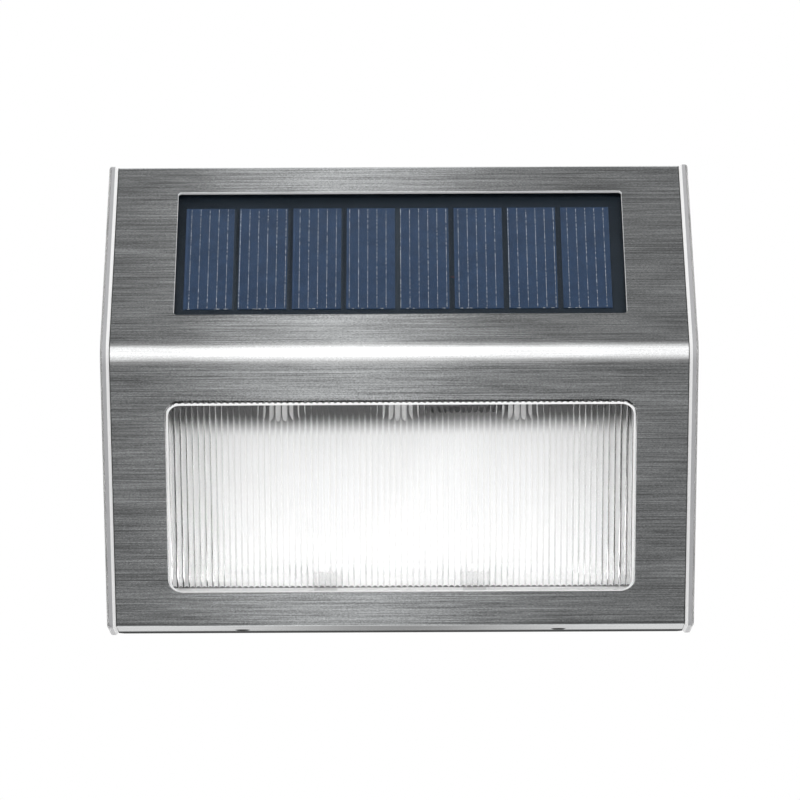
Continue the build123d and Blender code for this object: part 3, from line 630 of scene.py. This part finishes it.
def lens(finish, rim_highlight, flute_end_shade):
    """Clear window with a rounded front edge, a flange behind and flutes inside."""
    width, length, start, corner = LENS_WINDOW
    centre = -(start + length / 2)
    form = Form()

    def ring(size, out, radius):
        return [LOWER @ Vector((point.x + WINDOW_SHIFT, point.y + centre, out))
                for point in rounded(width + 2 * size, length + 2 * size, radius)]

    shoulder = LENS_PROUD - LENS_ROUND
    rings = [ring(LENS_EDGE, LENS_BACK, corner), ring(LENS_EDGE, LENS_STEP, corner),
             ring(-LENS_FIT, LENS_STEP, corner - LENS_FIT), ring(-LENS_FIT, shoulder, corner - LENS_FIT)]
    for step in range(1, 7):
        turn = step / 6 * math.pi / 2
        size = -LENS_FIT - LENS_ROUND * (1 - math.cos(turn))
        rings.append(ring(size, shoulder + LENS_ROUND * math.sin(turn), corner + size))
    made = form.loft(rings, caps=(False, True))
    # The outer half of the rounded edge takes the rim's finish, a near-white painted highlight
    rim = set(vert for loop in made[6:] for vert in loop)
    for face in form.mesh.faces:
        if len(face.verts) == 4 and set(face.verts) <= rim:
            face.material_index = 1
    count = math.floor((width - 2 * FLUTE_SIDE) / FLUTE_PITCH)
    left = WINDOW_SHIFT - count * FLUTE_PITCH / 2
    low = centre - length / 2 + FLUTE_END
    high = centre + length / 2 - FLUTE_END
    bases = []
    for number in range(count):
        x = left + number * FLUTE_PITCH
        bases.append(x)
        section = []
        run_out = []
        shallow, deep = FLUTE_HEIGHTS
        outward = abs(2 * (number + 0.5) / count - 1)
        crest = (shallow + (deep - shallow) * outward ** 4) * (0.93 + 0.14 * random.random())
        for step in range(FLUTE_STEPS + 1):
            rise = 1 - abs(2 * step / FLUTE_STEPS - 1) ** FLUTE_CURVE
            section.append((x + FLUTE_PITCH * step / FLUTE_STEPS, LENS_BACK - crest * rise))
            run_out.append(low + 0.01 + FLUTE_DASH * rise)
        low_end = [(a, LENS_BACK + (b - LENS_BACK) * FLUTE_FOOT) for a, b in section]
        lines = [[(a, low, b) for a, b in low_end],
                 [(a, along, b) for (a, b), along in zip(section, run_out)],
                 [(a, high, b) for a, b in section]]
        rows = form.loft([[LOWER @ Vector(point) for point in line] for line in lines], closed=False)
        # Painted shade: the run-out at each flute's lower end takes a dark finish
        ending = set(rows[0] + rows[1])
        for face in {face for vert in rows[0] for face in vert.link_faces}:
            if set(face.verts) <= ending:
                face.material_index = 2
    bases.append(left + count * FLUTE_PITCH)
    hole = [(x, low) for x in bases] + [(x, high) for x in reversed(bases)]
    flat = LOWER @ Matrix.Translation((0, 0, LENS_BACK))
    flange = rounded(width + 2 * LENS_EDGE, length + 2 * LENS_EDGE, corner)
    outer = [(point.x + WINDOW_SHIFT, point.y + centre) for point in flange]
    form.plate(flat, outer, [hole])
    window = form.piece("fluted_lens", finish, stands_for=["lens"], smooth=30)
    window.data.materials.append(rim_highlight)
    window.data.materials.append(flute_end_shade)
    return window


def leds(finish, frame_metal, die):
    """Three clear round LEDs, with the bond posts and the die cup inside."""
    form = Form()
    inside = Form()
    chips = Form()
    straight = LED_LENGTH - LED_RADIUS
    proud, thick = LED_COLLAR
    profile = [(0.01, 0), (LED_RADIUS + proud, 0), (LED_RADIUS + proud, thick),
               (LED_RADIUS, thick), (LED_RADIUS, straight)]
    for step in range(1, 13):
        turn = step * math.pi / 24
        profile.append((max(0.01, LED_RADIUS * math.cos(turn)), straight + LED_RADIUS * math.sin(turn)))
    for number in (-1, 0, 1):
        seat = LOWER @ Matrix.Translation((number * LED_SPACING, LED_SEAT, LED_DEPTH))
        down = seat @ Matrix.Rotation(math.pi, 4, "Z")
        form.turned(down, profile)
        for post in LED_FRAMES:
            inside.block(down, *post, 0.05)
        inside.turned(down @ Matrix.Translation((LED_CUP_SIDE, 0, 0)), LED_CUP, 24)
        chips.block(down, *LED_DIE, 0.04)
    form.piece("led_domes", finish, stands_for=["leds"], smooth=40)
    inside.piece("led_frames", frame_metal)
    chips.piece("led_dies", die)


def solar_cells(cell_finish, finish):
    """Thin cells, and the fine silver lines along them with their solder tabs."""
    cells = Form()
    form = Form()
    low = CELL_MIDDLE - CELL_LENGTH / 2
    high = low + CELL_LENGTH
    below, above = TAB_ENDS
    for number in range(CELLS):
        left = CELL_SHIFT + (number - (CELLS - 1) / 2) * CELL_PITCH - CELL_WIDTH / 2
        right = left + CELL_WIDTH
        cells.block(UPPER, (left, low, CELL_FACE - CELL_THICKNESS), (right, high, CELL_FACE), 0.03)
        x = left + LINE_STARTS[number]
        while x < right - 2 * LINE_HALF:
            form.block(UPPER, (x - LINE_HALF, low + LINE_INSET, CELL_FACE),
                       (x + LINE_HALF, high - LINE_INSET, CELL_FACE + LINE_RISE))
            x += LINE_PITCH
        for tab in range(3):
            spot = left + CELL_WIDTH * (0.1 + 0.8 * random.random())
            reach = 0.15 + 0.45 * random.random()
            form.block(UPPER, (spot - reach, low + below, CELL_FACE),
                       (spot + reach, low + above, CELL_FACE + TAB_RISE))
    cells.piece("blue_cells", cell_finish, stands_for=["solar_cells"])
    return form.piece("cell_lines", finish)


def studio():
    """White backdrop, soft light in front, and a bright strip and a dark card for reflections only."""
    world = bpy.data.worlds.new("studio")
    bpy.context.scene.world = world
    mix = Recipe(world)
    step = mix.step
    across, deep, height = mix.axes(mix.node("TexCoord", out="Generated"))
    box = step(height, -0.84, 0.1) * step(height, 0.5, 1.01, 1.0, 0.0)
    strip = step(abs(across + 0.01), 0.0, 0.024, 1.0, 0.0)
    card = step(abs(across), 0.0, 0.038, 0.66, 0.22) * step(abs(height + 0.14), 0.1, 0.3, 1.0, 0.0)
    reflected = step(height, -1.0, -0.88, 0.08, 0.2) + step(across, 0.0, 0.05) * 0.03
    reflected = reflected + box * 0.95 + strip * 0.8
    rays = mix.tree.nodes.new("ShaderNodeLightPath").outputs
    camera_ray = Field(mix, rays["Is Camera Ray"])
    through = Field(mix, rays["Is Transmission Ray"])
    glossy = Field(mix, rays["Is Glossy Ray"]) * (1 - through)
    soft = 0.75 + step(height, -0.3, 0.5) * 0.55
    key = 0.3 + step(height, -0.62, -0.3) * step(height, -0.1, 0.6, 3.75, 2.4)
    lighting = soft * (1 - through) + key * through
    behind = (deep > 0.0) * step(height, 0.8, 0.97, 1.0, 0.0) * step(height, -0.8, -0.6)
    front = reflected * glossy + lighting * (1 - glossy)
    seen = (camera_ray + glossy + through).limited()
    back = seen + (1 - seen) * 0.8 - card * glossy
    level = front * (1 - behind) + back * behind
    level = camera_ray + level * (1 - camera_ray)
    mix.finish(mix.node("Background", None, {"Color": colour(1.0), "Strength": level}), "World")


def floor():
    """Pale floor below the lamp, see-through from underneath."""
    form = bmesh.new()
    low = Matrix.Translation((0, 0, -0.25))
    bmesh.ops.create_circle(form, cap_ends=True, segments=96, radius=2.5, matrix=low)
    data = bpy.data.meshes.new("floor")
    form.to_mesh(data)
    form.free()
    made, mix = material("floor_paint")
    shade = mix.noise((0.02, 0.02, 0.02), 2.0, 1.0)
    paint = mix.node("BsdfDiffuse", None, {"Color": mix.blend(shade, colour(0.8), colour(0.84))})
    clear = mix.node("BsdfTransparent")
    under = mix.node("NewGeometry", out="Backfacing")
    mix.finish(mix.node("MixShader", None, {0: under, 1: paint, 2: clear}))
    data.materials.append(made)
    ground = bpy.data.objects.new("floor", data)
    bpy.context.scene.collection.objects.link(ground)
    ground.visible_glossy = False
    ground.visible_transmission = False


def camera():
    """The photograph's view: 1.2 m away and 8 degrees below the lamp."""
    view = bpy.data.cameras.new("camera")
    view.sensor_width = 36.0
    view.lens = FOCAL * view.sensor_width
    placed = bpy.data.objects.new("camera", view)
    bpy.context.scene.collection.objects.link(placed)
    tilt = Matrix.Rotation(math.radians(CAMERA_TILT), 4, "X")
    turn = Matrix.Rotation(math.radians(CAMERA_TURN), 4, "Z")
    placed.matrix_world = Matrix.Translation(CAMERA_PLACE) @ tilt @ turn
    bpy.context.scene.camera = placed


def dress(nodes):
    """A finish for every solid that stays as it is."""
    dark_board = coated("dark_board", (0.021, 0.037, 0.058), 0.45)
    grey = coated("grey_moulding", (0.09, 0.092, 0.095), 0.5, relief=0.03)
    green = coated("green_board", (0.03, 0.13, 0.06), 0.35)
    steel = metal("zinc_steel", 0.55, 0.3)
    tinned = metal("tinned_copper", 0.75, 0.25)
    finishes = {
        "lens_seal": coated("foam", (0.02, 0.02, 0.02), 0.9),
        "panel_seal": coated("foam_seal", (0.02, 0.02, 0.02), 0.9),
        "solar_cells": dark_board,
        "panel_resin": coated("clear_resin", (0.02, 0.03, 0.04), 0.15, Alpha=0.1),
        "panel_board": dark_board,
        "reflector": chamber_white(),
        "led_leads": tinned,
        "led_board": green,
        "control_board": green,
        "control_chip": coated("chip_resin", (0.02, 0.02, 0.02), 0.4),
        "charge_coil": coated("ferrite", (0.05, 0.05, 0.055), 0.5),
        "board_capacitor": coated("can_sleeve", (0.03, 0.03, 0.05), 0.3),
        "switch_body": metal("stamped_can", 0.7, 0.3),
        "switch_slider": coated("black_slider", (0.015, 0.015, 0.015), 0.5),
        "battery": coated("shrink_sleeve", (0.04, 0.16, 0.08), 0.25),
        "battery_contact_plus": metal("nickel", 0.7, 0.25, (1.0, 0.97, 0.9)),
        "battery_contact_spring": metal("nickel_leaf", 0.7, 0.25, (1.0, 0.97, 0.9)),
        "back_cover": grey,
        "battery_door": grey,
        "case_screws": steel,
        "panel_wires": coated("red_sleeve", (0.3, 0.02, 0.02), 0.4),
        "led_wires": coated("white_sleeve", (0.7, 0.7, 0.68), 0.4),
        "battery_wires": coated("black_sleeve", (0.02, 0.02, 0.02), 0.4),
        "wall_bracket": metal("rolled_sheet", 0.5, 0.35)}
    for name, finish in finishes.items():
        data = nodes[name].data
        data.materials.clear()
        data.materials.append(finish)
    return tinned


def main():
    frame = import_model()
    random.seed(4)
    camera()
    studio()
    floor()
    tinned = dress(frame["nodes"])
    cover(brushed_steel(), cut_edge())
    ends = satin_end()
    bevel_highlights = coated("painted_bevel_highlight", (0.85, 0.85, 0.85), 0.25, grain=0.03)
    fronts = coated("smoky_front", (0.4, 0.4, 0.41), 0.2, grain=0.08)
    for side in (-1, 1):
        end_cap(side, ends, bevel_highlights, fronts)
    lens(lens_plastic(), coated("lens_rim_highlight", (0.93, 0.93, 0.93), 0.12, grain=0.03),
         coated("flute_end_shade", (0.12, 0.12, 0.12), 0.3))
    leds(coated("clear_epoxy", (0.95, 0.95, 0.95), 0.1, IOR=1.53, Transmission_Weight=0.4), tinned,
         coated("led_die", (0.75, 0.72, 0.4), 0.5))
    solar_cells(silicon(), silver_paste())
    bpy.context.scene.view_settings.view_transform = "Standard"


main()
